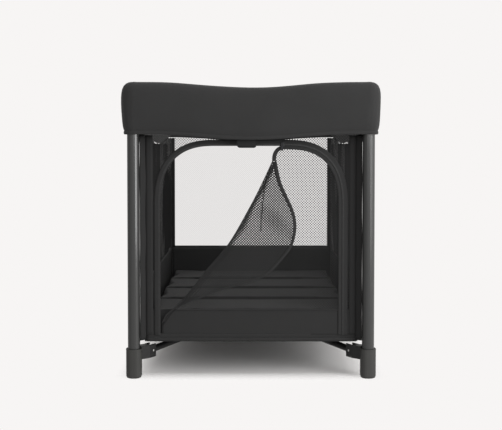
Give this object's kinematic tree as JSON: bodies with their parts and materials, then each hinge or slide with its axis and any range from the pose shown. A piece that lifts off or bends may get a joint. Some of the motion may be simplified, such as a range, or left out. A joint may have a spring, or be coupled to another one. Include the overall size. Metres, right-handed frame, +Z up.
{
  "type": "folding playpen",
  "caption": "Folding fabric travel playpen: tube legs, padded top band, net walls, a zipped front door with one side open, and a panelled mattress.",
  "frame": {"origin": "on the floor under the middle of the pen", "axes": "+Z up; -Y is the front, with the door; +X is to the right of someone facing the front; +Y is the long way, front to rear"},
  "size_m": [0.703, 1.023, 0.8075],
  "materials": {
    "post_tube": "satin",
    "steel_tube": "satin",
    "foot_plastic": "satin",
    "casting_plastic": "satin",
    "button_plastic": "satin",
    "band_cloth": "matte",
    "net_cloth": "matte",
    "floor_cloth": "matte",
    "mattress_cloth": "matte",
    "zip_metal": "satin"
  },
  "bodies": {
    "front_left": {"post_front_left": "post_tube", "foot_front_left": "foot_plastic", "corner_front_left": "casting_plastic", "band_corner_front_left": "band_cloth", "wall_front": "net_cloth", "wall_left": "net_cloth", "door_leaf": "net_cloth"},
    "front_right": {"post_front_right": "post_tube", "foot_front_right": "foot_plastic", "corner_front_right": "casting_plastic", "band_corner_front_right": "band_cloth", "wall_right": "net_cloth"},
    "rear_left": {"post_rear_left": "post_tube", "foot_rear_left": "foot_plastic", "corner_rear_left": "casting_plastic", "band_corner_rear_left": "band_cloth", "wall_rear": "net_cloth"},
    "rear_right": {"post_rear_right": "post_tube", "foot_rear_right": "foot_plastic", "corner_rear_right": "casting_plastic", "band_corner_rear_right": "band_cloth"},
    "hub": {"hub": "casting_plastic", "floor_sling": "floor_cloth"},
    "arm_front_left": {"arm_front_left": "steel_tube"},
    "arm_front_right": {"arm_front_right": "steel_tube"},
    "arm_rear_left": {"arm_rear_left": "steel_tube"},
    "arm_rear_right": {"arm_rear_right": "steel_tube"},
    "rail_front_of_front_left": {"rail_front_of_front_left": "steel_tube", "band_front_of_front_left": "band_cloth"},
    "lock_front": {"lock_front": "casting_plastic"},
    "button_front": {"button_front": "button_plastic"},
    "rail_front_of_front_right": {"rail_front_of_front_right": "steel_tube", "band_front_of_front_right": "band_cloth"},
    "rail_rear_of_rear_left": {"rail_rear_of_rear_left": "steel_tube", "band_rear_of_rear_left": "band_cloth"},
    "lock_rear": {"lock_rear": "casting_plastic"},
    "button_rear": {"button_rear": "button_plastic"},
    "rail_rear_of_rear_right": {"rail_rear_of_rear_right": "steel_tube", "band_rear_of_rear_right": "band_cloth"},
    "rail_left_of_front_left": {"rail_left_of_front_left": "steel_tube", "band_left_of_front_left": "band_cloth"},
    "lock_left": {"lock_left": "casting_plastic"},
    "button_left": {"button_left": "button_plastic"},
    "rail_left_of_rear_left": {"rail_left_of_rear_left": "steel_tube", "band_left_of_rear_left": "band_cloth"},
    "rail_right_of_front_right": {"rail_right_of_front_right": "steel_tube", "band_right_of_front_right": "band_cloth"},
    "lock_right": {"lock_right": "casting_plastic"},
    "button_right": {"button_right": "button_plastic"},
    "rail_right_of_rear_right": {"rail_right_of_rear_right": "steel_tube", "band_right_of_rear_right": "band_cloth"},
    "mattress_front_inner": {"mattress_front_inner": "mattress_cloth"},
    "mattress_front_outer": {"mattress_front_outer": "mattress_cloth"},
    "mattress_rear_inner": {"mattress_rear_inner": "mattress_cloth"},
    "mattress_rear_outer": {"mattress_rear_outer": "mattress_cloth"},
    "door_flap": {"door_flap": "net_cloth"},
    "zip_slider": {"zip_slider": "zip_metal"},
    "zip_pull": {"zip_pull": "zip_metal"}
  },
  "joints": [
    {"name": "fold", "type": "hinge", "parent": "front_left", "child": "arm_front_left", "pos_m": [-0.28, -0.44, 0.068], "axis": [0.8594, -0.5113, 0], "range_deg": [0, 80], "deforming": ["band_corner_front_left", "band_corner_front_right", "band_corner_rear_left", "band_corner_rear_right", "band_front_of_front_left", "band_front_of_front_right", "band_rear_of_rear_left", "band_rear_of_rear_right", "band_left_of_front_left", "band_left_of_rear_left", "band_right_of_front_right", "band_right_of_rear_right", "wall_front", "wall_rear", "wall_left", "wall_right", "door_leaf", "door_flap", "floor_sling", "mattress_front_inner", "mattress_front_outer", "mattress_rear_inner", "mattress_rear_outer"]},
    {"name": "hub_pivot", "type": "hinge", "parent": "arm_front_left", "child": "hub", "pos_m": [-0.045, -0.045, 0.09209], "axis": [0.8594, -0.5113, 0], "range_deg": [-80, 0]},
    {"name": "arm_pivot_front_right", "type": "hinge", "parent": "hub", "child": "arm_front_right", "pos_m": [0.045, -0.045, 0.09209], "axis": [0.8594, 0.5113, 0], "range_deg": [0, 80]},
    {"name": "post_pivot_front_right", "type": "hinge", "parent": "arm_front_right", "child": "front_right", "pos_m": [0.28, -0.44, 0.068], "axis": [0.8594, 0.5113, 0], "range_deg": [-80, 0]},
    {"name": "arm_pivot_rear_left", "type": "hinge", "parent": "hub", "child": "arm_rear_left", "pos_m": [-0.045, 0.045, 0.09209], "axis": [-0.8594, -0.5113, 0], "range_deg": [0, 80]},
    {"name": "post_pivot_rear_left", "type": "hinge", "parent": "arm_rear_left", "child": "rear_left", "pos_m": [-0.28, 0.44, 0.068], "axis": [-0.8594, -0.5113, 0], "range_deg": [-80, 0]},
    {"name": "arm_pivot_rear_right", "type": "hinge", "parent": "hub", "child": "arm_rear_right", "pos_m": [0.045, 0.045, 0.09209], "axis": [-0.8594, 0.5113, 0], "range_deg": [0, 80]},
    {"name": "post_pivot_rear_right", "type": "hinge", "parent": "arm_rear_right", "child": "rear_right", "pos_m": [0.28, 0.44, 0.068], "axis": [-0.8594, 0.5113, 0], "range_deg": [-80, 0]},
    {"name": "rail_pivot_front_of_front_left", "type": "hinge", "parent": "front_left", "child": "rail_front_of_front_left", "pos_m": [-0.28, -0.48, 0.7725], "axis": [0, 1, 0], "range_deg": [0, 80]},
    {"name": "lock_pivot_front", "type": "hinge", "parent": "rail_front_of_front_left", "child": "lock_front", "pos_m": [-0.045, -0.48, 0.76018], "axis": [0, 1, 0], "range_deg": [-80, 0]},
    {"name": "release_front", "type": "slide", "parent": "lock_front", "child": "button_front", "axis": [0, 0, 1], "range_m": [0, 0.007], "stiffness_N_per_m": 800, "springref_m": -0.004},
    {"name": "rail_pivot_front_of_front_right", "type": "hinge", "parent": "front_right", "child": "rail_front_of_front_right", "pos_m": [0.28, -0.48, 0.7725], "axis": [0, -1, 0], "range_deg": [0, 80]},
    {"name": "rail_pivot_rear_of_rear_left", "type": "hinge", "parent": "rear_left", "child": "rail_rear_of_rear_left", "pos_m": [-0.28, 0.48, 0.7725], "axis": [0, 1, 0], "range_deg": [0, 80]},
    {"name": "lock_pivot_rear", "type": "hinge", "parent": "rail_rear_of_rear_left", "child": "lock_rear", "pos_m": [-0.045, 0.48, 0.76018], "axis": [0, 1, 0], "range_deg": [-80, 0]},
    {"name": "release_rear", "type": "slide", "parent": "lock_rear", "child": "button_rear", "axis": [0, 0, 1], "range_m": [0, 0.007], "stiffness_N_per_m": 800, "springref_m": -0.004},
    {"name": "rail_pivot_rear_of_rear_right", "type": "hinge", "parent": "rear_right", "child": "rail_rear_of_rear_right", "pos_m": [0.28, 0.48, 0.7725], "axis": [0, -1, 0], "range_deg": [0, 80]},
    {"name": "rail_pivot_left_of_front_left", "type": "hinge", "parent": "front_left", "child": "rail_left_of_front_left", "pos_m": [-0.32, -0.44, 0.7725], "axis": [-1, 0, 0], "range_deg": [0, 80]},
    {"name": "lock_pivot_left", "type": "hinge", "parent": "rail_left_of_front_left", "child": "lock_left", "pos_m": [-0.32, -0.045, 0.7518], "axis": [-1, 0, 0], "range_deg": [-80, 0]},
    {"name": "release_left", "type": "slide", "parent": "lock_left", "child": "button_left", "axis": [0, 0, 1], "range_m": [0, 0.007], "stiffness_N_per_m": 800, "springref_m": -0.004},
    {"name": "rail_pivot_left_of_rear_left", "type": "hinge", "parent": "rear_left", "child": "rail_left_of_rear_left", "pos_m": [-0.32, 0.44, 0.7725], "axis": [1, 0, 0], "range_deg": [0, 80]},
    {"name": "rail_pivot_right_of_front_right", "type": "hinge", "parent": "front_right", "child": "rail_right_of_front_right", "pos_m": [0.32, -0.44, 0.7725], "axis": [-1, 0, 0], "range_deg": [0, 80]},
    {"name": "lock_pivot_right", "type": "hinge", "parent": "rail_right_of_front_right", "child": "lock_right", "pos_m": [0.32, -0.045, 0.7518], "axis": [-1, 0, 0], "range_deg": [-80, 0]},
    {"name": "release_right", "type": "slide", "parent": "lock_right", "child": "button_right", "axis": [0, 0, 1], "range_m": [0, 0.007], "stiffness_N_per_m": 800, "springref_m": -0.004},
    {"name": "rail_pivot_right_of_rear_right", "type": "hinge", "parent": "rear_right", "child": "rail_right_of_rear_right", "pos_m": [0.32, 0.44, 0.7725], "axis": [1, 0, 0], "range_deg": [0, 80]},
    {"name": "crease_front_inner", "type": "hinge", "parent": "hub", "child": "mattress_front_inner", "pos_m": [0, 0, 0.18009], "axis": [-1, 0, 0], "range_deg": [0, 80]},
    {"name": "crease_front_outer", "type": "hinge", "parent": "mattress_front_inner", "child": "mattress_front_outer", "pos_m": [0, -0.223, 0.11459], "axis": [1, 0, 0], "range_deg": [0, 160]},
    {"name": "crease_rear_inner", "type": "hinge", "parent": "hub", "child": "mattress_rear_inner", "pos_m": [0, 0, 0.18009], "axis": [1, 0, 0], "range_deg": [0, 80]},
    {"name": "crease_rear_outer", "type": "hinge", "parent": "mattress_rear_inner", "child": "mattress_rear_outer", "pos_m": [0, 0.223, 0.11459], "axis": [-1, 0, 0], "range_deg": [0, 160]},
    {"name": "door_flap_turn", "type": "hinge", "parent": "front_left", "child": "door_flap", "pos_m": [-0.0846, -0.455, 0.35835], "axis": [-0.5588, 0, -0.8293], "range_deg": [0, 180]},
    {"name": "zip_slide", "type": "slide", "parent": "lock_front", "child": "zip_slider", "axis": [1, 0, 0], "range_m": [0, 0.08]},
    {"name": "zip_pull_swing", "type": "hinge", "parent": "zip_slider", "child": "zip_pull", "pos_m": [0.0854, -0.4588, 0.63803], "axis": [-1, 0, 0], "range_deg": [0, 150]}
  ],
  "couplings": [
    {"joint": "hub_pivot", "follows": "fold", "ratio": -1},
    {"joint": "arm_pivot_front_right", "follows": "fold", "ratio": 1},
    {"joint": "post_pivot_front_right", "follows": "fold", "ratio": -1},
    {"joint": "arm_pivot_rear_left", "follows": "fold", "ratio": 1},
    {"joint": "post_pivot_rear_left", "follows": "fold", "ratio": -1},
    {"joint": "arm_pivot_rear_right", "follows": "fold", "ratio": 1},
    {"joint": "post_pivot_rear_right", "follows": "fold", "ratio": -1},
    {"joint": "rail_pivot_front_of_front_left", "follows": "fold", "ratio": 1},
    {"joint": "lock_pivot_front", "follows": "fold", "ratio": -1},
    {"joint": "rail_pivot_front_of_front_right", "follows": "fold", "ratio": 1},
    {"joint": "rail_pivot_rear_of_rear_left", "follows": "fold", "ratio": 1},
    {"joint": "lock_pivot_rear", "follows": "fold", "ratio": -1},
    {"joint": "rail_pivot_rear_of_rear_right", "follows": "fold", "ratio": 1},
    {"joint": "rail_pivot_left_of_front_left", "follows": "fold", "ratio": 1},
    {"joint": "lock_pivot_left", "follows": "fold", "ratio": -1},
    {"joint": "rail_pivot_left_of_rear_left", "follows": "fold", "ratio": 1},
    {"joint": "rail_pivot_right_of_front_right", "follows": "fold", "ratio": 1},
    {"joint": "lock_pivot_right", "follows": "fold", "ratio": -1},
    {"joint": "rail_pivot_right_of_rear_right", "follows": "fold", "ratio": 1},
    {"joint": "crease_front_inner", "follows": "fold", "ratio": 1},
    {"joint": "crease_front_outer", "follows": "fold", "ratio": 2},
    {"joint": "crease_rear_inner", "follows": "fold", "ratio": 1},
    {"joint": "crease_rear_outer", "follows": "fold", "ratio": 2}
  ]
}
